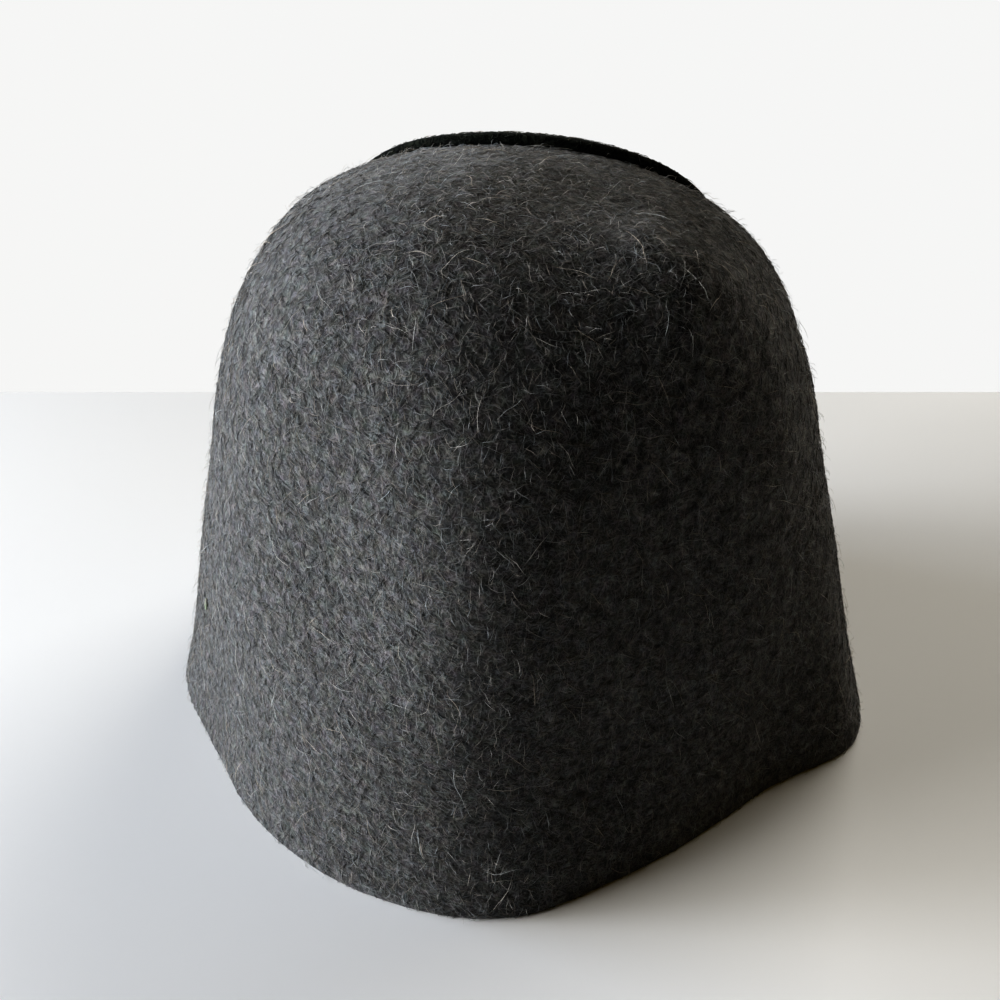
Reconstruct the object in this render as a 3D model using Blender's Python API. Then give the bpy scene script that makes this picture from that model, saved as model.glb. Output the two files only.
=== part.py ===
# Felt hat: a one-piece bell of grey felt with a soft front ridge, and a black felt band over its crown.
# The hat stands on its rim, front towards -Y, with its origin on the floor under the middle of its box.

import math
from collections import namedtuple

import bmesh
import bpy
from mathutils import Vector

MM = 0.001

# Driving sizes of the felt, in millimetres
HAT_HEIGHT = 192.0
RIM_HALF_WIDTH = 130.0
FELT_THICKNESS = 2.6
RIM_ROUNDING = 0.5

# Facets of the felt: a coarse step round the hat, a fine one at the tight front right corner
COARSE_STEP = 5.0
FINE_STEP = 2.5
FINE_FROM = 335.0
FINE_TO = 360.0
ROWS_PER_SECTION = 3

# Driving sizes of the band, in millimetres: its front edge lies this far behind the hat's middle,
# and falls back by the sweep times how far the crown has turned away
BAND_WIDTH = 26.0
BAND_THICKNESS = 3.5
BAND_GAP = 0.45
BAND_FRONT_EDGE = 21.5
BAND_SWEEP = 60.0
BAND_CENTRE = -3.0
BAND_START_HEIGHT = 1.2 * HAT_HEIGHT
BAND_STEPS_LONG = 36
BAND_STEPS_WIDE = 8

# The crown's radius from side to side in millimetres, and how many degrees round it each end goes
CROWN_RADIUS = 88.0
BAND_END_TURN = 41.5

# The trimming block that cuts the rim flat, in millimetres
TRIM_SIDE = 400.0
TRIM_DEPTH = 30.0

# Edges sharper than the first angle are eased, and those sharper than the second are shaded sharp
EASED_ANGLE = 55.0
SHARP_ANGLE = 40.0

# Dents begin at this share of the height and are whole a little higher
DENTS_FROM = 0.60
DENTS_WHOLE = 0.90

GREY_FELT = (0.17, 0.17, 0.18)
GREY_FELT_ROUGHNESS = 0.95
BLACK_FELT = (0.012, 0.014, 0.012)
BLACK_FELT_ROUGHNESS = 0.90

# One row for each level section, from below the cut rim to the top of the crown.
# height is a share of HAT_HEIGHT, reach a share of RIM_HALF_WIDTH, and shift moves the section
# sideways by a share of RIM_HALF_WIDTH. waist and crown say how far the section's outline has
# turned from the rim's outline to the waist's, and from there to the crown's.
Section = namedtuple("Section", "height reach shift waist crown")
SECTIONS = (
    Section(-0.03, 1.016, 0.000, 0.00, 0.00),
    Section(0.08, 0.964, 0.000, 0.12, 0.00),
    Section(0.20, 0.912, -0.005, 0.40, 0.00),
    Section(0.34, 0.860, -0.010, 0.80, 0.00),
    Section(0.50, 0.794, -0.015, 1.00, 0.10),
    Section(0.65, 0.735, -0.020, 1.00, 0.45),
    Section(0.77, 0.667, -0.025, 1.00, 0.75),
    Section(0.86, 0.585, -0.026, 1.00, 0.95),
    Section(0.93, 0.470, -0.038, 1.00, 1.00),
    Section(0.975, 0.318, -0.050, 1.00, 1.00),
    Section(0.995, 0.132, -0.055, 1.00, 1.00),
    Section(1.00, 0.000, -0.057, 1.00, 1.00),
)

# One row for each direction seen from above, counter-clockwise from +X: 270 is the front.
# Each share is the outline's reach there, of the section's own reach.
Direction = namedtuple("Direction", "angle rim waist crown")
DIRECTIONS = (
    Direction(0, 1.000, 1.000, 1.00),
    Direction(30, 0.970, 0.975, 0.98),
    Direction(60, 0.905, 0.945, 0.95),
    Direction(90, 0.875, 0.930, 0.94),
    Direction(120, 0.905, 0.945, 0.95),
    Direction(150, 0.970, 0.975, 0.98),
    Direction(180, 1.005, 1.000, 1.00),
    Direction(192, 0.990, 0.990, 0.99),
    Direction(199, 0.950, 0.975, 0.98),
    Direction(206, 0.912, 0.955, 0.97),
    Direction(214, 0.892, 0.938, 0.96),
    Direction(224, 0.891, 0.915, 0.95),
    Direction(240, 0.889, 0.900, 0.93),
    Direction(258, 0.883, 0.910, 0.92),
    Direction(268, 0.880, 0.925, 0.91),
    Direction(278, 0.862, 0.905, 0.90),
    Direction(290, 0.810, 0.865, 0.90),
    Direction(305, 0.781, 0.850, 0.91),
    Direction(320, 0.784, 0.865, 0.93),
    Direction(332, 0.826, 0.900, 0.95),
    Direction(340, 0.906, 0.935, 0.97),
    Direction(346, 0.976, 0.965, 0.98),
    Direction(352, 0.997, 0.990, 0.99),
)

# Soft dents (down) and swells (up) of the crown: centre, radii and rise as shares of RIM_HALF_WIDTH
Dent = namedtuple("Dent", "across along radius_across radius_along rise")
DENTS = (
    Dent(0.08, -0.32, 0.20, 0.16, -0.017),
    Dent(0.35, -0.35, 0.16, 0.13, 0.030),
    Dent(0.24, 0.05, 0.17, 0.17, -0.010),
    Dent(0.19, -0.18, 0.125, 0.10, -0.021),
)

# Folds and hollows of the side wall: each pushes the felt out (or in) and up, most strongly at its
# angle and at its share of the height, and fades away from there over the two spreads. The pushes
# are shares of RIM_HALF_WIDTH.
Fold = namedtuple("Fold", "angle height angle_spread height_spread out up")
FOLDS = (
    Fold(243, 0.57, 13, 0.18, -0.020, 0.000),
    Fold(274, 0.57, 16, 0.18, 0.024, 0.000),
    Fold(258, 0.21, 14, 0.13, 0.009, 0.000),
    Fold(291, 0.23, 17, 0.12, -0.022, 0.000),
    Fold(306, 0.45, 12, 0.22, -0.016, 0.000),
    Fold(333, 0.67, 9, 0.17, 0.015, 0.002),
    Fold(320, 0.86, 14, 0.065, 0.029, 0.028),
)


def clear_scene():
    for thing in list(bpy.data.objects):
        bpy.data.objects.remove(thing, do_unlink=True)


def felt_material(name, colour, roughness):
    material = bpy.data.materials.new(name)
    material.use_nodes = True
    shader = material.node_tree.nodes["Principled BSDF"]
    shader.inputs["Base Color"].default_value = (*colour, 1.0)
    shader.inputs["Roughness"].default_value = roughness
    shader.inputs["Metallic"].default_value = 0.0
    return material


# A smooth curve through the values at the stations, level with its neighbours' slopes
def smooth_value(stations, values, at):
    index = 1
    while index < len(stations) - 3 and at > stations[index + 1]:
        index += 1
    span = stations[index + 1] - stations[index]
    part = (at - stations[index]) / span
    slopes = []
    for middle in (index, index + 1):
        before = stations[middle] - stations[middle - 1]
        after = stations[middle + 1] - stations[middle]
        slope_before = (values[middle] - values[middle - 1]) / before
        slope_after = (values[middle + 1] - values[middle]) / after
        slopes.append((slope_before * after + slope_after * before) / (before + after))
    square = part * part
    cube = square * part
    start = (2 * cube - 3 * square + 1) * values[index]
    start += (cube - 2 * square + part) * span * slopes[0]
    end = (3 * square - 2 * cube) * values[index + 1]
    end += (cube - square) * span * slopes[1]
    return start + end


# The outline's reach in one direction, from the column of the table that is asked for
def outline_share(angle, column):
    angles = [row.angle for row in DIRECTIONS]
    shares = [getattr(row, column) for row in DIRECTIONS]
    angles = [value - 360 for value in angles[-2:]] + angles + [value + 360 for value in angles[:3]]
    shares = shares[-2:] + shares + shares[:3]
    return smooth_value(angles, shares, angle)


# One column of the section table at a place between its rows, mirrored over the crown's top
def section_value(place, column):
    values = [getattr(row, column) for row in SECTIONS]
    over_top = -values[-2] if column == "reach" else values[-2]
    before_rim = 2 * values[0] - values[1]
    places = list(range(-1, len(values) + 1))
    return smooth_value(places, [before_rim] + values + [over_top], place)


def dent_rise(x, y, height_share):
    rise = 0.0
    for dent in DENTS:
        across = (x / RIM_HALF_WIDTH - dent.across) / dent.radius_across
        along = (y / RIM_HALF_WIDTH - dent.along) / dent.radius_along
        rise += dent.rise * RIM_HALF_WIDTH * math.exp(-across * across - along * along)
    fade = min(max((height_share - DENTS_FROM) / (DENTS_WHOLE - DENTS_FROM), 0.0), 1.0)
    return rise * fade


# How far the side folds push the felt out and up at one direction and height
def fold_push(angle, height_share):
    out = 0.0
    up = 0.0
    for fold in FOLDS:
        round_hat = ((angle - fold.angle + 180.0) % 360.0 - 180.0) / fold.angle_spread
        up_hat = (height_share - fold.height) / fold.height_spread
        strength = RIM_HALF_WIDTH * math.exp(-round_hat * round_hat - up_hat * up_hat)
        out += fold.out * strength
        up += fold.up * strength
    return out, up


def column_angles():
    angles = []
    angle = 0.0
    while angle < 360.0:
        angles.append(angle)
        angle += FINE_STEP if FINE_FROM <= angle < FINE_TO else COARSE_STEP
    return angles


def felt_point(place, angle, shares):
    height = section_value(place, "height")
    reach = section_value(place, "reach") * RIM_HALF_WIDTH
    shift = section_value(place, "shift") * RIM_HALF_WIDTH
    waist = section_value(place, "waist")
    crown = section_value(place, "crown")
    rim_share, waist_share, crown_share = shares
    share = rim_share + (waist_share - rim_share) * waist
    share += (crown_share - share) * crown
    out, up = fold_push(angle, height)
    x = shift + (reach * share + out) * math.cos(math.radians(angle))
    y = (reach * share + out) * math.sin(math.radians(angle))
    z = height * HAT_HEIGHT + up + dent_rise(x, y, height)
    return Vector((x, y, z)) * MM


# The outer skin of the felt, ring over ring, closed at the top of the crown
def felt_skin():
    skin = bmesh.new()
    angles = column_angles()
    shares = [[outline_share(angle, column) for column in ("rim", "waist", "crown")] for angle in angles]
    last_row = (len(SECTIONS) - 1) * ROWS_PER_SECTION
    rings = []
    for row in range(last_row):
        place = row / ROWS_PER_SECTION
        rings.append([skin.verts.new(felt_point(place, a, s)) for a, s in zip(angles, shares)])
    for lower, upper in zip(rings, rings[1:]):
        for index in range(len(angles)):
            following = (index + 1) % len(angles)
            skin.faces.new((lower[index], lower[following], upper[following], upper[index]))
    top = skin.verts.new(felt_point(len(SECTIONS) - 1, 0.0, shares[0]))
    for index in range(len(angles)):
        following = (index + 1) % len(angles)
        skin.faces.new((rings[-1][index], rings[-1][following], top))
    mesh = bpy.data.meshes.new("felt_body")
    skin.to_mesh(mesh)
    skin.free()
    return mesh


def trim_block():
    bpy.ops.mesh.primitive_cube_add(size=1.0, location=(0.0, 0.0, -TRIM_DEPTH * MM / 2))
    block = bpy.context.object
    block.name = "rim_trim"
    block.scale = (TRIM_SIDE * MM, TRIM_SIDE * MM, TRIM_DEPTH * MM)
    block.hide_render = True
    block.display_type = "WIRE"
    return block


# The felt wall goes inwards from the skin, is cut flat at the rim, and its cut edges are eased
def build_felt_body():
    body = bpy.data.objects.new("felt_body", felt_skin())
    bpy.context.collection.objects.link(body)
    wall = body.modifiers.new("felt_wall", "SOLIDIFY")
    wall.thickness = FELT_THICKNESS * MM
    wall.offset = -1.0
    wall.use_even_offset = True
    trim = body.modifiers.new("flat_rim", "BOOLEAN")
    trim.operation = "DIFFERENCE"
    trim.solver = "EXACT"
    trim.object = trim_block()
    easing = body.modifiers.new("eased_edges", "BEVEL")
    easing.width = RIM_ROUNDING * MM
    easing.segments = 1
    easing.limit_method = "ANGLE"
    easing.angle_limit = math.radians(EASED_ANGLE)
    body.data.materials.append(felt_material("grey_felt", GREY_FELT, GREY_FELT_ROUGHNESS))
    body.data.shade_smooth()
    body.data.set_sharp_from_angle(angle=math.radians(SHARP_ANGLE))
    return body


# The band seen from above: its length follows the crown's curve, and its ends sweep back
def band_plan():
    plan = bmesh.new()
    rows = []
    for step in range(BAND_STEPS_LONG + 1):
        turn = BAND_END_TURN * (2.0 * step / BAND_STEPS_LONG - 1.0)
        across = BAND_CENTRE + CROWN_RADIUS * math.sin(math.radians(turn))
        front_edge = BAND_FRONT_EDGE + BAND_SWEEP * (1.0 - math.cos(math.radians(turn)))
        row = []
        for part in range(BAND_STEPS_WIDE + 1):
            along = front_edge + BAND_WIDTH * part / BAND_STEPS_WIDE
            row.append(plan.verts.new(Vector((across, along, BAND_START_HEIGHT)) * MM))
        rows.append(row)
    for left, right in zip(rows, rows[1:]):
        for part in range(BAND_STEPS_WIDE):
            plan.faces.new((left[part], right[part], right[part + 1], left[part + 1]))
    mesh = bpy.data.meshes.new("crown_band")
    plan.to_mesh(mesh)
    plan.free()
    return mesh


# The band is laid down on the crown, just clear of the felt, and thickened outwards
def build_crown_band(felt_body):
    band = bpy.data.objects.new("crown_band", band_plan())
    bpy.context.collection.objects.link(band)
    laid = band.modifiers.new("laid_on_crown", "SHRINKWRAP")
    laid.target = felt_body
    laid.wrap_method = "PROJECT"
    laid.use_project_z = True
    laid.use_negative_direction = True
    laid.use_positive_direction = False
    laid.wrap_mode = "ABOVE_SURFACE"
    laid.offset = BAND_GAP * MM
    body = band.modifiers.new("band_felt", "SOLIDIFY")
    body.thickness = BAND_THICKNESS * MM
    body.offset = 1.0
    body.use_even_offset = True
    band.data.materials.append(felt_material("black_felt", BLACK_FELT, BLACK_FELT_ROUGHNESS))
    band.data.shade_smooth()
    band.data.set_sharp_from_angle(angle=math.radians(SHARP_ANGLE))
    return band


clear_scene()
build_crown_band(build_felt_body())
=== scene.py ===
import math

import bpy
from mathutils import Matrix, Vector


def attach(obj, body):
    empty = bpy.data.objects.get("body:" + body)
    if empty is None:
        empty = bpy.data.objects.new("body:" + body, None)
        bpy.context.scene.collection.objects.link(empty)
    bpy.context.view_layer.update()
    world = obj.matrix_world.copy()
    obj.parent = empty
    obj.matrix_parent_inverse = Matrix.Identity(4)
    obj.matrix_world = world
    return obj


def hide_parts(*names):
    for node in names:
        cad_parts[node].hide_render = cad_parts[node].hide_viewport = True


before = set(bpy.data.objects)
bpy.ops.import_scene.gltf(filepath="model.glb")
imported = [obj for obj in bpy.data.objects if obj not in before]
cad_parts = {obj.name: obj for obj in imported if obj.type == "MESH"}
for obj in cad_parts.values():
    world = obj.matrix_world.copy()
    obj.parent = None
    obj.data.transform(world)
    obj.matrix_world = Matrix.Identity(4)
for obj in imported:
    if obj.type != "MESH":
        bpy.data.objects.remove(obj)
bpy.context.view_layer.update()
print("frame loaded")


# the camera looks down on the front of the hat, from a little to its own left
cameraSetup = {"place": (0.0289, -0.2810, 0.2468), "turn": 7.2, "down": 31.3, "lens": 33.48, "sensor": 36.0,
               "nearClip": 0.01}


def makeCamera():
    bpy.ops.object.select_all(action="DESELECT")
    tilt = (math.radians(90 - cameraSetup["down"]), 0, math.radians(cameraSetup["turn"]))
    bpy.ops.object.camera_add(location=cameraSetup["place"], rotation=tilt)
    camera = bpy.context.object
    camera.data.lens = cameraSetup["lens"]
    camera.data.sensor_width = cameraSetup["sensor"]
    camera.data.clip_start = cameraSetup["nearClip"]
    bpy.context.scene.camera = camera


# a node with its settings, its input values and the sockets that feed it
def addNode(tree, kind, settings=None, inputs=None):
    node = tree.nodes.new(kind)
    for key, value in (settings or {}).items():
        setattr(node, key, value)
    for key, value in (inputs or {}).items():
        if isinstance(value, bpy.types.NodeSocket):
            tree.links.new(value, node.inputs[key])
        else:
            node.inputs[key].default_value = value
    return node


def newPaint(name):
    paint = bpy.data.materials.new(name)
    paint.use_nodes = True
    return paint, paint.node_tree, paint.node_tree.nodes["Principled BSDF"]


lightAim = (0.0, 0.0, 0.09)
lights = {
    # name: (place, size, watts, colour)
    "lowWindow": ((-1.989, 0.0, 0.299), 1.0, 60.0, (0.802, 0.873, 1.0)),
    "highWindow": ((-1.865, -0.535, 0.574), 1.0, 42.4, (1.0, 0.995, 0.972)),
    "glowBehind": ((0.498, 0.862, 0.926), 0.9, 9.6, (1.0, 0.97, 0.90)),
    "warmSide": ((1.362, 0.365, 0.603), 1.0, 1.4, (1.0, 0.65, 0.10)),
}
room = {
    "seen": (0.650, 0.650, 0.646, 1),      # the pale grey behind everything
    "seenStrength": 1.0,
    "glow": 0.001,                         # how strongly the same grey lights the hat
}


def makeLights():
    for name, (place, size, watts, colour) in lights.items():
        bpy.ops.object.light_add(type="AREA", location=place)
        lamp = bpy.context.object
        lamp.name = name
        lamp.rotation_euler = (Vector(lightAim) - Vector(place)).to_track_quat("-Z", "Y").to_euler()
        lamp.data.size = size
        lamp.data.energy = watts
        lamp.data.color = colour
        lamp.visible_camera = False
    world = bpy.data.worlds.new("paleRoom")
    bpy.context.scene.world = world
    world.use_nodes = True
    tree = world.node_tree
    background = tree.nodes["Background"]
    background.inputs["Color"].default_value = room["seen"]
    seen = addNode(tree, "ShaderNodeLightPath")
    strength = addNode(tree, "ShaderNodeMapRange", None,
                       {"Value": seen.outputs["Is Camera Ray"],
                        "To Min": room["glow"], "To Max": room["seenStrength"]})
    tree.links.new(strength.outputs["Result"], background.inputs["Strength"])
    colours = bpy.context.scene.view_settings
    colours.view_transform = "Standard"
    colours.look = "High Contrast"


stage = {
    "size": 8.0,
    "near": (0.88, 0.88, 0.88, 1),         # the pale floor in front of the hat
    "far": (0.645, 0.645, 0.645, 1),       # and behind it, a little greyer
    "greyFrom": -0.25,
    "greyTo": 0.24,
    "roughness": 0.7,
    "white": (0.650, 0.650, 0.646, 1),     # the evenly lit white that begins behind the floor
    "whiteFrom": 0.2535,
    "whiteHeight": 0.0005,
    "turn": 7.2,
    "fadeFrom": 0.50,                      # the floor fades into the same white all round
    "fadeTo": 0.95,
    "fadeHeight": 0.0003,
}


def evenWhite(name):
    paint, tree, shader = newPaint(name)
    shader.inputs["Base Color"].default_value = (0.0, 0.0, 0.0, 1)
    shader.inputs["Emission Color"].default_value = stage["white"]
    shader.inputs["Emission Strength"].default_value = 1.0
    shader.inputs["Specular IOR Level"].default_value = 0.0
    return paint, tree, shader


# the camera sees it, and it neither lights nor shades the hat
def onlySeen(sheet, name):
    sheet.name = name
    sheet.visible_diffuse = False
    sheet.visible_shadow = False


def makeFloor():
    bpy.ops.object.select_all(action="DESELECT")
    bpy.ops.mesh.primitive_plane_add(size=stage["size"], location=(0, 0, 0))
    floor = bpy.context.object
    floor.name = "floor"
    paint, tree, shader = newPaint("palePaper")
    spot = addNode(tree, "ShaderNodeTexCoord").outputs["Object"]
    place = addNode(tree, "ShaderNodeSeparateXYZ", None, {0: spot})
    back = addNode(tree, "ShaderNodeMapRange", None,
                   {"Value": place.outputs["Y"], "From Min": stage["greyFrom"], "From Max": stage["greyTo"],
                    "To Min": 0.0, "To Max": 1.0})
    paper = addNode(tree, "ShaderNodeMix", {"data_type": "RGBA"},
                    {"Factor": back.outputs["Result"], 6: stage["near"], 7: stage["far"]})
    tree.links.new(paper.outputs[2], shader.inputs["Base Color"])
    shader.inputs["Roughness"].default_value = stage["roughness"]
    shader.inputs["Specular IOR Level"].default_value = 0.0
    floor.data.materials.append(paint)
    turn = math.radians(stage["turn"])
    far = stage["whiteFrom"] + stage["size"] / 2
    bpy.ops.mesh.primitive_plane_add(size=stage["size"], rotation=(0, 0, turn),
                                     location=(-math.sin(turn) * far, math.cos(turn) * far,
                                               stage["whiteHeight"]))
    backdrop = bpy.context.object
    onlySeen(backdrop, "backdrop")
    backdrop.data.materials.append(evenWhite("evenWhite")[0])
    bpy.ops.mesh.primitive_plane_add(size=stage["size"], location=(0, 0, stage["fadeHeight"]))
    surround = bpy.context.object
    onlySeen(surround, "surround")
    paint, tree, shader = evenWhite("fadingWhite")
    away = addNode(tree, "ShaderNodeVectorMath", {"operation": "LENGTH"},
                   {0: addNode(tree, "ShaderNodeTexCoord").outputs["Object"]})
    fade = addNode(tree, "ShaderNodeMapRange", {"interpolation_type": "SMOOTHSTEP"},
                   {"Value": away.outputs["Value"], "From Min": stage["fadeFrom"], "From Max": stage["fadeTo"],
                    "To Min": 0.0, "To Max": 1.0})
    tree.links.new(fade.outputs["Result"], shader.inputs["Alpha"])
    surround.data.materials.append(paint)
    print("floor laid")


mend = {"merge": 0.00001, "quadAngle": math.radians(50)}


# a copy of a CAD solid, joined up into clean quads and ready to be refined
def copyOfNode(node, name):
    bpy.ops.object.select_all(action="DESELECT")
    piece = bpy.data.objects.new(name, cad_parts[node].data.copy())
    bpy.context.scene.collection.objects.link(piece)
    piece.data.materials.clear()
    bpy.context.view_layer.objects.active = piece
    piece.select_set(True)
    bpy.ops.object.mode_set(mode="EDIT")
    bpy.ops.mesh.select_all(action="SELECT")
    bpy.ops.mesh.remove_doubles(threshold=mend["merge"])
    bpy.ops.mesh.tris_convert_to_quads(face_threshold=mend["quadAngle"], shape_threshold=mend["quadAngle"])
    bpy.ops.object.mode_set(mode="OBJECT")
    return piece


def applyModifiers(piece):
    bpy.ops.object.select_all(action="DESELECT")
    bpy.context.view_layer.objects.active = piece
    piece.select_set(True)
    for modifier in list(piece.modifiers):
        bpy.ops.object.modifier_apply(modifier=modifier.name)


felt = {
    "levels": 1,            # subdivision of the shell
    "lumpSize": 0.022,      # soft unevenness of the blocked felt
    "lumpDepth": 0.0007,
    "pitSize": 0.005,
    "pitDepth": 0.0003,
    # the gap colour is partly the felt's own dark wool and partly painted shade between the fibres
    "gapWoolAndShade": (0.058, 0.058, 0.057, 1),      # the dark between the fibres
    "wool": (0.132, 0.132, 0.130, 1),     # the mass of grey wool
    "silver": (0.190, 0.190, 0.187, 1),   # paler fibres lying in it
    "sheen": 0.21,
    "clump": 0.0036,        # size of the clumps of wool
    # towards +X the clumps turn darker on average and more contrasty: painted shade of the dark side
    "clumpDarkAndPaintedShade": (0.34, 0.92),            # how much darker and paler they get, towards -X and towards +X
    "clumpPale": (0.34, 0.55),
}


# the curls drawn on the felt under its fibres
curls = {
    "fine": (560.0, 0.07),       # how many to the metre, and how thin
    "coarse": (300.0, 0.05),
    "shift": (3.1, 1.7, 2.3),    # keeps the coarse ones apart from the fine ones
    "patches": 170.0,
    "dyes": 380.0,
    "dyeLow": (0.93, 0.95, 0.93),
    "dyeHigh": (1.07, 1.05, 1.07),
    "relief": 0.0003,
    "reliefStrength": 0.5,
}


# thin crossing curls: the places where a noise passes its middle value
def curlLines(tree, place, scale, thin):
    noise = addNode(tree, "ShaderNodeTexNoise", None,
                    {"Vector": place, "Scale": scale, "Detail": 1.5, "Roughness": 0.6, "Distortion": 0.8})
    off = addNode(tree, "ShaderNodeMath", {"operation": "SUBTRACT"}, {0: noise.outputs["Fac"], 1: 0.5})
    size = addNode(tree, "ShaderNodeMath", {"operation": "ABSOLUTE"}, {0: off.outputs[0]})
    line = addNode(tree, "ShaderNodeMapRange", {"interpolation_type": "SMOOTHSTEP"},
                   {"Value": size.outputs[0], "From Min": 0.0, "From Max": thin, "To Min": 1.0, "To Max": 0.0})
    return line.outputs["Result"]


# darker and paler clumps of wool, the same on the shell and on the fibres over it, and stronger towards +X,
# where they are also darker on average: painted shade of the hat's dark side
def mottledWithPaintedShade(tree, colour, size, dark, pale):
    place = addNode(tree, "ShaderNodeTexCoord").outputs["Object"]
    clump = addNode(tree, "ShaderNodeTexNoise", None,
                    {"Vector": place, "Scale": 1.0 / size, "Detail": 4.0, "Roughness": 0.72})
    towardsShade = addNode(tree, "ShaderNodeSeparateXYZ", None, {0: place})
    shadedEnds = []
    # the +X end of each range is painted shade
    for left, right in ((1.0 - dark[0], 1.0 - dark[1]), (1.0 + pale[0], 1.0 + pale[1])):
        shadedEnds.append(addNode(tree, "ShaderNodeMapRange", None,
                            {"Value": towardsShade.outputs["X"], "From Min": -0.02, "From Max": 0.05,
                             "To Min": left, "To Max": right}).outputs["Result"])
    clumpAndShadeShare = addNode(tree, "ShaderNodeMapRange", None,
                    {"Value": clump.outputs["Fac"], "From Min": 0.30, "From Max": 0.70,
                     "To Min": shadedEnds[0], "To Max": shadedEnds[1]})
    shaded = addNode(tree, "ShaderNodeMix", {"data_type": "RGBA", "blend_type": "MULTIPLY"},
                     {"Factor": 1.0, 6: colour, 7: clumpAndShadeShare.outputs["Result"]})
    return shaded.outputs[2]


def feltPaint(name, look):
    paint, tree, shader = newPaint(name)
    place = addNode(tree, "ShaderNodeTexCoord").outputs["Object"]
    moved = addNode(tree, "ShaderNodeMapping", None, {"Vector": place, "Location": curls["shift"]})
    fine = curlLines(tree, place, *curls["fine"])
    coarse = curlLines(tree, moved.outputs["Vector"], *curls["coarse"])
    patch = addNode(tree, "ShaderNodeTexNoise", None,
                    {"Vector": place, "Scale": curls["patches"], "Detail": 3.0})
    wool = addNode(tree, "ShaderNodeMix", {"data_type": "RGBA"},
                   # away from the curls the gap colour shows: dark wool with painted shade between the fibres
                   {"Factor": fine, 6: look["gapWoolAndShade"], 7: look["wool"]})
    silver = addNode(tree, "ShaderNodeMath", {"operation": "MULTIPLY"}, {0: coarse, 1: patch.outputs["Fac"]})
    coat = addNode(tree, "ShaderNodeMix", {"data_type": "RGBA"},
                   {"Factor": silver.outputs[0], 6: wool.outputs[2], 7: look["silver"]})
    # fibres of many greys: some warmer, some cooler
    dye = addNode(tree, "ShaderNodeTexNoise", None,
                  {"Vector": moved.outputs["Vector"], "Scale": curls["dyes"], "Detail": 2.0})
    tint = addNode(tree, "ShaderNodeMapRange", {"data_type": "FLOAT_VECTOR"},
                   {"Vector": dye.outputs["Color"], 7: (0.3, 0.3, 0.3), 8: (0.7, 0.7, 0.7),
                    9: curls["dyeLow"], 10: curls["dyeHigh"]})
    dyed = addNode(tree, "ShaderNodeMix", {"data_type": "RGBA", "blend_type": "MULTIPLY"},
                   {"Factor": 1.0, 6: coat.outputs[2], 7: tint.outputs["Vector"]})
    # the clumps carry painted shade that darkens the +X side
    clumpsWithPaintedShade = mottledWithPaintedShade(tree, dyed.outputs[2], look["clump"], look["clumpDarkAndPaintedShade"], look["clumpPale"])
    tree.links.new(clumpsWithPaintedShade, shader.inputs["Base Color"])
    height = addNode(tree, "ShaderNodeMath", {"operation": "MAXIMUM"}, {0: fine, 1: coarse})
    bump = addNode(tree, "ShaderNodeBump", None,
                   {"Height": height.outputs[0], "Strength": curls["reliefStrength"],
                    "Distance": curls["relief"]})
    tree.links.new(bump.outputs["Normal"], shader.inputs["Normal"])
    shader.inputs["Roughness"].default_value = 1.0
    shader.inputs["Specular IOR Level"].default_value = 0.1
    shader.inputs["Sheen Weight"].default_value = look["sheen"]
    shader.inputs["Sheen Roughness"].default_value = fibre["sheenRoughness"]
    return paint


def makeFelt():
    shell = copyOfNode("felt_body", "feltShell")
    smooth = shell.modifiers.new("rounder", "SUBSURF")
    smooth.levels = smooth.render_levels = felt["levels"]
    for name, size, depth in (("lumps", "lumpSize", "lumpDepth"), ("pits", "pitSize", "pitDepth")):
        clouds = bpy.data.textures.new(name, "CLOUDS")
        clouds.noise_scale = felt[size]
        push = shell.modifiers.new(name, "DISPLACE")
        push.texture = clouds
        push.texture_coords = "LOCAL"
        push.strength = felt[depth]
        push.mid_level = 0.5
    applyModifiers(shell)
    for point in shell.data.vertices:      # the cut edge stands on the floor
        point.co.z = max(point.co.z, 0.0)
    bpy.ops.object.shade_smooth()
    shell.data.materials.append(feltPaint("greyFelt", felt))
    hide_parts("felt_body")
    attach(shell, "root")
    print("felt shell:", len(shell.data.polygons), "faces")
    return shell


band = {
    "levels": 1,
    # the gap colour is dark wool and painted shade between the band's fibres
    "gapWoolAndShade": (0.005, 0.006, 0.005, 1),
    "wool": (0.016, 0.019, 0.015, 1),
    "silver": (0.034, 0.040, 0.030, 1),
    "sheen": 0.02,
    "clump": 0.0045,
    "clumpDarkAndPaintedShade": (0.5, 0.5),
    "clumpPale": (0.5, 0.5),
    "flat": (0.030, 0.136),      # the strip before it is laid: 30 mm wide on the slope, 136 mm long
}


def makeBand():
    strap = copyOfNode("crown_band", "crownBand")
    smooth = strap.modifiers.new("rounder", "SUBSURF")
    smooth.levels = smooth.render_levels = band["levels"]
    applyModifiers(strap)
    bpy.ops.object.shade_smooth()
    strap.data.materials.append(feltPaint("blackFelt", band))
    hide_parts("crown_band")
    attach(strap, "root")
    return strap


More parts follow.
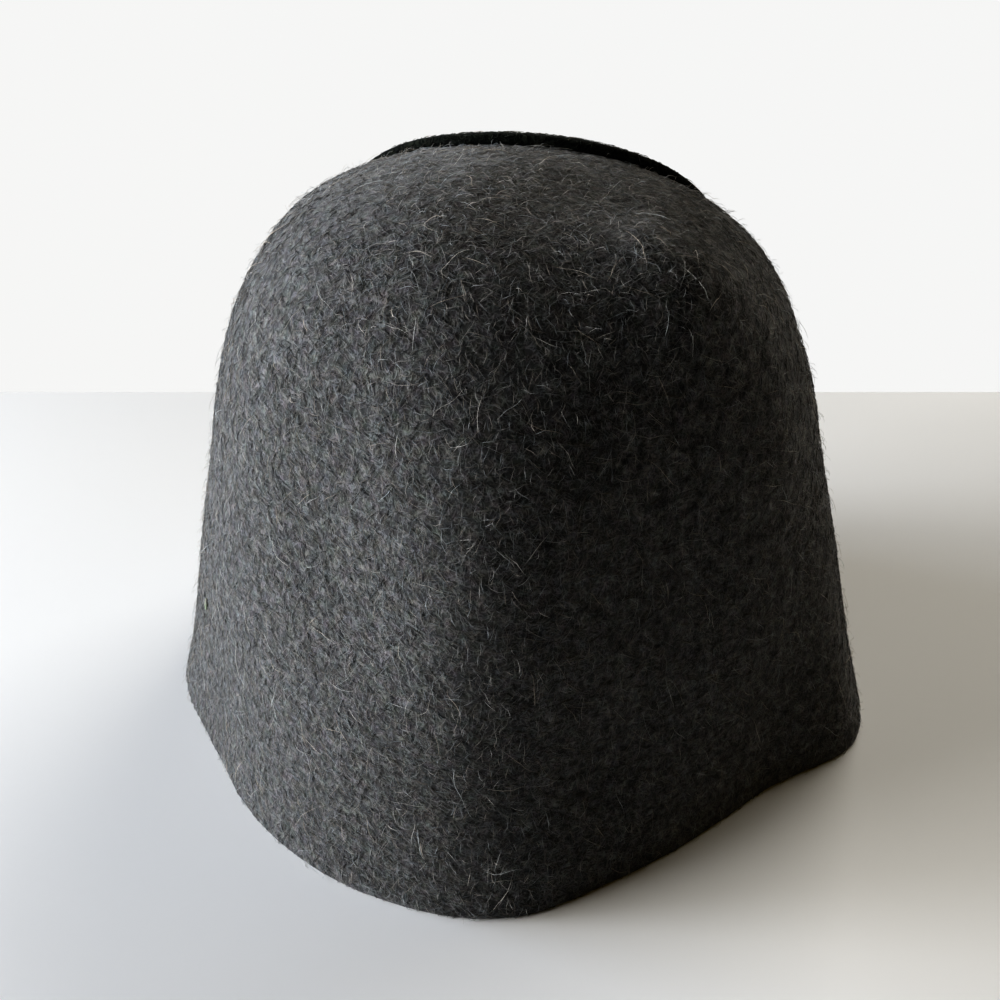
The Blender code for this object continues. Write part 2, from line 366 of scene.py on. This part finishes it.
# every coat of fibres: how many to the square centimetre, length and thickness in metres, how far the middle
# and the tip lift off, how strongly they curl, how far they stray from the nap's direction (radians), and the
# tones from the darkest fibre to the palest
coats = {
    "deepWool": {
        "perSquareCm": 10.0, "length": (0.0018, 0.0044), "thick": 0.00025, "points": 3, "seed": 3,
        "lift": 0.00028, "tipLift": 0.0002, "curl": 0.0010, "curlSize": 0.0035, "stray": 1.57,
        "dark": (0.068, 0.068, 0.067, 1), "pale": (0.112, 0.112, 0.110, 1), "sheen": 0.18,
    },
    "greyWool": {
        "perSquareCm": 10.0, "length": (0.0020, 0.0048), "thick": 0.00023, "points": 3, "seed": 11,
        "lift": 0.00034, "tipLift": 0.0003, "curl": 0.0010, "curlSize": 0.0035, "stray": 1.45,
        "dark": (0.104, 0.104, 0.102, 1), "pale": (0.154, 0.154, 0.151, 1), "sheen": 0.18,
    },
    "paleWool": {
        "perSquareCm": 10.0, "length": (0.0022, 0.0052), "thick": 0.00020, "points": 3, "seed": 23,
        "lift": 0.00038, "tipLift": 0.0004, "curl": 0.0011, "curlSize": 0.0035, "stray": 1.3,
        "dark": (0.128, 0.128, 0.125, 1), "pale": (0.190, 0.190, 0.186, 1), "sheen": 0.18,
    },
    "silverWool": {
        "perSquareCm": 7.2, "length": (0.0026, 0.0064), "thick": 0.00016, "points": 4, "seed": 37,
        "lift": 0.00042, "tipLift": 0.0006, "curl": 0.0015, "curlSize": 0.0045, "stray": 1.15,
        "dark": (0.148, 0.148, 0.144, 1), "pale": (0.250, 0.248, 0.241, 1), "sheen": 0.18,
    },
    "guardHairs": {
        "perSquareCm": 1.1, "length": (0.0040, 0.0130), "thick": 0.00012, "points": 7, "seed": 51,
        "lift": 0.0007, "tipLift": 0.0022, "curl": 0.0024, "curlSize": 0.0100, "stray": 1.3,
        "dark": (0.240, 0.235, 0.222, 1), "pale": (0.580, 0.563, 0.533, 1), "sheen": 0.0,
    },
    "edgeFuzz": {
        "perSquareCm": 4.0, "length": (0.0016, 0.0042), "thick": 0.00011, "points": 4, "seed": 67,
        "lift": 0.0007, "tipLift": 0.0026, "curl": 0.0016, "curlSize": 0.0040, "stray": 1.57,
        "dark": (0.180, 0.180, 0.176, 1), "pale": (0.440, 0.436, 0.425, 1), "sheen": 0.35,
    },
}
bandFuzz = {
    "perSquareCm": 26.0, "length": (0.0010, 0.0028), "thick": 0.00020, "points": 4, "seed": 81,
    "lift": 0.00013, "tipLift": 0.0004, "curl": 0.0012, "curlSize": 0.0030, "stray": 1.57,
    "dark": (0.010, 0.013, 0.009, 1), "pale": (0.036, 0.046, 0.028, 1), "sheen": 0.05,
}
strayHairs = {
    "perSquareCm": 1.6, "length": (0.0030, 0.0080), "thick": 0.00011, "points": 6, "seed": 97,
    "lift": 0.0003, "tipLift": 0.0003, "curl": 0.0020, "curlSize": 0.0080, "stray": 1.57,
    "dark": (0.100, 0.088, 0.074, 1), "pale": (0.400, 0.350, 0.300, 1), "sheen": 0.0,
}
# what all the fibres share
fibre = {
    "hatMiddle": (0, 0, 0.06),        # faces that look away from here are on the outside
    "soleBelow": -0.5,                # a face that looks down more than this is the cut edge
    "combed": (0.50, 0.0, -0.86),     # the nap lies down and towards +X
    "crown": (0.2, 0.8),              # it loosens as the crown levels out, up to this stray
    "crownStray": 1.6,
    "curlSpread": 300.0,              # how differently two neighbours curl
    "curlGain": 3.0,
    "offFloor": 0.6,                  # the share of its thickness that a fibre keeps off the floor
    "endShare": 0.25,                 # how thick the ends are, next to the middle
    "tintTurns": 37.0,
    "warmTint": (1.12, 1.0, 0.88, 1),
    "coolTint": (0.90, 1.0, 1.08, 1),
    "roughness": 0.8,
    "specular": 0.2,
    "sheenRoughness": 0.5,
}


def fibreTree(name, look):
    tree = bpy.data.node_groups.new(name, "GeometryNodeTree")
    tree.interface.new_socket("Geometry", in_out="INPUT", socket_type="NodeSocketGeometry")
    tree.interface.new_socket("Geometry", in_out="OUTPUT", socket_type="NodeSocketGeometry")
    surface = addNode(tree, "NodeGroupInput").outputs["Geometry"]
    normal = addNode(tree, "GeometryNodeInputNormal").outputs["Normal"]
    position = addNode(tree, "GeometryNodeInputPosition").outputs["Position"]

    # only the outside of the wall, above the cut edge
    fromMiddle = addNode(tree, "ShaderNodeVectorMath", {"operation": "SUBTRACT"},
                         {0: position, 1: fibre["hatMiddle"]})
    facing = addNode(tree, "ShaderNodeVectorMath", {"operation": "DOT_PRODUCT"},
                     {0: normal, 1: fromMiddle.outputs["Vector"]})
    outside = addNode(tree, "FunctionNodeCompare", {"data_type": "FLOAT", "operation": "GREATER_THAN"},
                      {0: facing.outputs["Value"], 1: 0.0})
    upward = addNode(tree, "ShaderNodeSeparateXYZ", None, {0: normal})
    notSole = addNode(tree, "FunctionNodeCompare", {"data_type": "FLOAT", "operation": "GREATER_THAN"},
                      {0: upward.outputs["Z"], 1: fibre["soleBelow"]})
    both = addNode(tree, "FunctionNodeBooleanMath", {"operation": "AND"},
                   {0: outside.outputs["Result"], 1: notSole.outputs["Result"]})
    roots = addNode(tree, "GeometryNodeDistributePointsOnFaces", None,
                    {"Mesh": surface, "Selection": both.outputs[0],
                     "Density": look["perSquareCm"] * 10000, "Seed": look["seed"]})

    # a number for each fibre, kept to the end for its curl and its tone
    tone = addNode(tree, "FunctionNodeRandomValue", {"data_type": "FLOAT"},
                   {2: 0.0, 3: 1.0, "Seed": look["seed"] + 1})
    marked = addNode(tree, "GeometryNodeStoreNamedAttribute", {"data_type": "FLOAT", "domain": "POINT"},
                     {"Geometry": roots.outputs["Points"], "Name": "tone", "Value": tone.outputs[1]})

    # it lies along the nap, give or take its stray
    either = addNode(tree, "FunctionNodeRandomValue", {"data_type": "FLOAT"},
                     {2: -1.0, 3: 1.0, "Seed": look["seed"] + 2})
    level = addNode(tree, "ShaderNodeSeparateXYZ", None, {0: roots.outputs["Normal"]})
    stray = addNode(tree, "ShaderNodeMapRange", None,
                    {"Value": level.outputs["Z"], "From Min": fibre["crown"][0], "From Max": fibre["crown"][1],
                     "To Min": look["stray"], "To Max": fibre["crownStray"]})
    turn = addNode(tree, "ShaderNodeMath", {"operation": "MULTIPLY"},
                   {0: either.outputs[1], 1: stray.outputs["Result"]})
    about = addNode(tree, "FunctionNodeAxisAngleToRotation", None,
                    {"Axis": (0, 0, 1), "Angle": turn.outputs[0]})
    napped = addNode(tree, "FunctionNodeAlignRotationToVector", {"axis": "X", "pivot_axis": "Z"},
                     {"Rotation": roots.outputs["Rotation"], "Vector": fibre["combed"]})
    lay = addNode(tree, "FunctionNodeRotateRotation", {"rotation_space": "LOCAL"},
                  {"Rotation": napped.outputs["Rotation"], "Rotate By": about.outputs["Rotation"]})
    length = addNode(tree, "FunctionNodeRandomValue", {"data_type": "FLOAT"},
                     {2: look["length"][0], 3: look["length"][1], "Seed": look["seed"] + 3})
    strand = addNode(tree, "GeometryNodeCurvePrimitiveLine", None,
                     {"Start": (-0.5, 0, 0), "End": (0.5, 0, 0)})
    jointed = addNode(tree, "GeometryNodeResampleCurve", {"mode": "COUNT"},
                      {"Curve": strand.outputs["Curve"], "Count": look["points"]})
    sown = addNode(tree, "GeometryNodeInstanceOnPoints", None,
                   {"Points": marked.outputs["Geometry"], "Instance": jointed.outputs["Curve"],
                    "Rotation": lay.outputs["Rotation"], "Scale": length.outputs[1]})
    strands = addNode(tree, "GeometryNodeRealizeInstances", None, {"Geometry": sown.outputs["Instances"]})

    # each fibre curls its own way, then lies back on the felt
    ownTone = addNode(tree, "GeometryNodeInputNamedAttribute", {"data_type": "FLOAT"}, {"Name": "tone"})
    ownCurl = addNode(tree, "ShaderNodeMath", {"operation": "MULTIPLY"},
                      {0: ownTone.outputs[0], 1: fibre["curlSpread"]})
    swirl = addNode(tree, "ShaderNodeTexNoise", {"noise_dimensions": "4D"},
                    {"Vector": position, "W": ownCurl.outputs[0],
                     "Scale": 1.0 / look["curlSize"], "Detail": 1.0})
    centred = addNode(tree, "ShaderNodeVectorMath", {"operation": "SUBTRACT"},
                      {0: swirl.outputs["Color"], 1: (0.5, 0.5, 0.5)})
    sway = addNode(tree, "ShaderNodeVectorMath", {"operation": "SCALE"},
                   {0: centred.outputs["Vector"], "Scale": look["curl"] * fibre["curlGain"]})
    curled = addNode(tree, "GeometryNodeSetPosition", None,
                     {"Geometry": strands.outputs["Geometry"], "Offset": sway.outputs["Vector"]})
    nearest = addNode(tree, "GeometryNodeSampleNearestSurface", {"data_type": "FLOAT_VECTOR"},
                      {"Mesh": surface, "Value": position, "Sample Position": position})
    nearNormal = addNode(tree, "GeometryNodeSampleNearestSurface", {"data_type": "FLOAT_VECTOR"},
                         {"Mesh": surface, "Value": normal, "Sample Position": position})
    along = addNode(tree, "GeometryNodeSplineParameter")
    half = addNode(tree, "ShaderNodeMath", {"operation": "MULTIPLY"}, {0: along.outputs["Factor"], 1: math.pi})
    arch = addNode(tree, "ShaderNodeMath", {"operation": "SINE"}, {0: half.outputs[0]})
    tipRise = addNode(tree, "ShaderNodeMath", {"operation": "MULTIPLY"},
                      {0: along.outputs["Factor"], 1: look["tipLift"]})
    ownTip = addNode(tree, "ShaderNodeMath", {"operation": "MULTIPLY"},
                     {0: tipRise.outputs[0], 1: ownTone.outputs[0]})
    rise = addNode(tree, "ShaderNodeMath", {"operation": "MULTIPLY_ADD"},
                   {0: arch.outputs[0], 1: look["lift"], 2: ownTip.outputs[0]})
    lifted = addNode(tree, "ShaderNodeVectorMath", {"operation": "SCALE"},
                     {0: nearNormal.outputs["Value"], "Scale": rise.outputs[0]})
    landed = addNode(tree, "ShaderNodeVectorMath", {"operation": "ADD"},
                     {0: nearest.outputs["Value"], 1: lifted.outputs["Vector"]})
    floorless = addNode(tree, "ShaderNodeVectorMath", {"operation": "MAXIMUM"},
                        {0: landed.outputs["Vector"], 1: (-1.0, -1.0, look["thick"] * fibre["offFloor"])})
    settled = addNode(tree, "GeometryNodeSetPosition", None,
                      {"Geometry": curled.outputs["Geometry"], "Position": floorless.outputs["Vector"]})

    # thickest in the middle, thin at both ends
    body = addNode(tree, "ShaderNodeMath", {"operation": "MULTIPLY_ADD"},
                   {0: arch.outputs[0], 1: 1.0 - fibre["endShare"], 2: fibre["endShare"]})
    radius = addNode(tree, "ShaderNodeMath", {"operation": "MULTIPLY"},
                     {0: body.outputs[0], 1: look["thick"] / 2})
    thinned = addNode(tree, "GeometryNodeSetCurveRadius", None,
                      {"Curve": settled.outputs["Geometry"], "Radius": radius.outputs[0]})
    section = addNode(tree, "GeometryNodeCurvePrimitiveCircle", {"mode": "RADIUS"},
                      {"Resolution": 3, "Radius": 1.0})
    meshed = addNode(tree, "GeometryNodeCurveToMesh", None,
                     {"Curve": thinned.outputs["Curve"], "Profile Curve": section.outputs["Curve"],
                      "Scale": radius.outputs[0], "Fill Caps": True})
    addNode(tree, "NodeGroupOutput", None, {"Geometry": meshed.outputs["Mesh"]})
    return tree


def fibrePaint(name, look):
    paint, tree, shader = newPaint(name)
    tone = addNode(tree, "ShaderNodeAttribute", {"attribute_name": "tone"}).outputs["Fac"]
    grey = addNode(tree, "ShaderNodeMix", {"data_type": "RGBA"},
                   {"Factor": tone, 6: look["dark"], 7: look["pale"]})
    many = addNode(tree, "ShaderNodeMath", {"operation": "MULTIPLY"}, {0: tone, 1: fibre["tintTurns"]})
    spread = addNode(tree, "ShaderNodeMath", {"operation": "FRACT"}, {0: many.outputs[0]})
    tint = addNode(tree, "ShaderNodeMix", {"data_type": "RGBA"},
                   {"Factor": spread.outputs[0], 6: fibre["warmTint"], 7: fibre["coolTint"]})
    dyed = addNode(tree, "ShaderNodeMix", {"data_type": "RGBA", "blend_type": "MULTIPLY"},
                   {"Factor": 1.0, 6: grey.outputs[2], 7: tint.outputs[2]})
    # the same clumps and the same painted shade towards +X as on the shell
    clumpsWithPaintedShade = mottledWithPaintedShade(tree, dyed.outputs[2], felt["clump"], felt["clumpDarkAndPaintedShade"], felt["clumpPale"])
    tree.links.new(clumpsWithPaintedShade, shader.inputs["Base Color"])
    shader.inputs["Roughness"].default_value = fibre["roughness"]
    shader.inputs["Specular IOR Level"].default_value = fibre["specular"]
    shader.inputs["Sheen Weight"].default_value = look["sheen"]
    shader.inputs["Sheen Roughness"].default_value = fibre["sheenRoughness"]
    return paint


def sowFibres(surface, name, look):
    bpy.ops.object.select_all(action="DESELECT")
    coat = bpy.data.objects.new(name, surface.data.copy())
    bpy.context.scene.collection.objects.link(coat)
    coat.data.materials.clear()
    modifier = coat.modifiers.new("fibres", "NODES")
    modifier.node_group = fibreTree(name + "Nodes", look)
    applyModifiers(coat)
    coat.data.materials.clear()
    coat.data.materials.append(fibrePaint(name + "Paint", look))
    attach(coat, "root")
    coat.data.calc_loop_triangles()      # for the count below
    print(name + ":", len(coat.data.loop_triangles), "triangles")


# a flake of straw caught in the felt, low towards -X
straw = {
    "near": (-0.1105, -0.047, 0.052),
    "length": 0.0050,
    "width": 0.0022,
    "thick": 0.0011,
    "proud": 0.0004,        # how far its middle stands off the felt
    "colour": (0.26, 0.27, 0.20, 1),
    "grain": 900.0,
    "grainShare": 0.6,
    "roughness": 0.7,
}


def makeStraw(shell):
    place, normal = shell.closest_point_on_mesh(Vector(straw["near"]))[1:3]
    bpy.ops.object.select_all(action="DESELECT")
    bpy.ops.mesh.primitive_uv_sphere_add(segments=12, ring_count=8, radius=0.5,
                                         location=place + normal * straw["proud"])
    flake = bpy.context.object
    flake.name = "strawFlake"
    flake.rotation_euler = normal.to_track_quat("Z", "Y").to_euler()
    flake.scale = (straw["width"], straw["length"], straw["thick"])
    bpy.ops.object.transform_apply(location=True, rotation=True, scale=True)
    bpy.ops.object.shade_smooth()
    paint, tree, shader = newPaint("straw")
    spot = addNode(tree, "ShaderNodeTexCoord").outputs["Object"]
    grain = addNode(tree, "ShaderNodeTexNoise", None, {"Vector": spot, "Scale": straw["grain"], "Detail": 2.0})
    tone = addNode(tree, "ShaderNodeMix", {"data_type": "RGBA", "blend_type": "MULTIPLY"},
                   {"Factor": straw["grainShare"], 6: straw["colour"], 7: grain.outputs["Color"]})
    tree.links.new(tone.outputs[2], shader.inputs["Base Color"])
    shader.inputs["Roughness"].default_value = straw["roughness"]
    flake.data.materials.append(paint)
    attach(flake, "root")


makeCamera()
makeLights()
makeFloor()
shell = makeFelt()
strap = makeBand()
for name, look in coats.items():
    sowFibres(shell, name, look)
makeStraw(shell)
sowFibres(strap, "bandFuzz", bandFuzz)
sowFibres(strap, "strayHairs", strayHairs)
